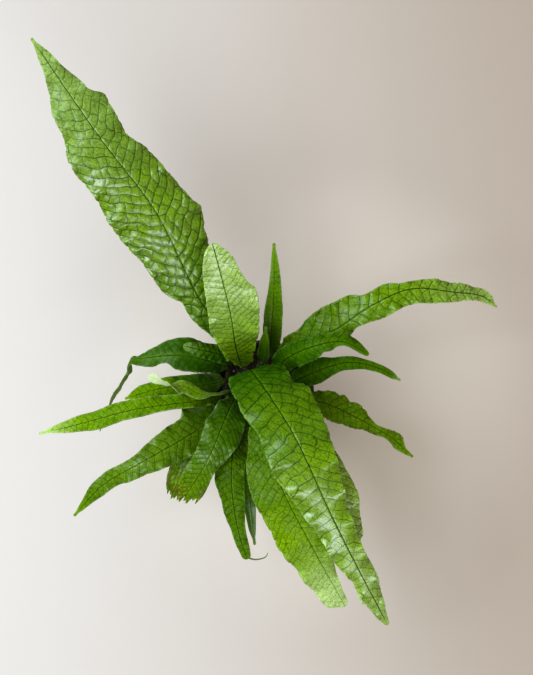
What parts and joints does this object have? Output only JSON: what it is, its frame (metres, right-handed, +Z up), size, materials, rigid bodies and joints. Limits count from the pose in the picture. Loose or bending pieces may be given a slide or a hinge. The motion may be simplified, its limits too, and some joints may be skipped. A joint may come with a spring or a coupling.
{
  "type": "potted crocodile fern",
  "caption": "potted fern with long, waved, leathery fronds that carry a raised crocodile-skin net, spreading from creeping rhizomes in the soil of a round plastic nursery pot",
  "frame": {"origin": "centre of the pot's flat base, where it stands", "axes": "+Z up out of the pot; +Y along the fronds that reach furthest, up in the picture; +X to the right in the picture, which is taken from above"},
  "size_m": [0.4376, 0.4968, 0.3004],
  "materials": {
    "pot_plastic": "satin black moulded plastic",
    "soil": "loose peat, bark and coir, dry on top",
    "rhizome": "matt brown-green skin with papery scales",
    "frond": "waxy satin green, paler below"
  },
  "bodies": {
    "root": {"nursery_pot": "pot_plastic", "soil": "soil", "rhizome_1": "rhizome", "rhizome_2": "rhizome", "rhizome_3": "rhizome", "frond_01": "frond", "frond_02": "frond", "frond_03": "frond", "frond_04": "frond", "frond_05": "frond", "frond_06": "frond", "frond_07": "frond", "frond_08": "frond", "frond_09": "frond", "frond_10": "frond", "frond_11": "frond", "frond_12": "frond", "frond_13": "frond", "frond_14": "frond", "frond_15": "frond", "frond_16": "frond", "frond_17": "frond", "frond_18": "frond", "frond_19": "frond", "frond_20": "frond", "frond_21": "frond"}
  },
  "joints": []
}
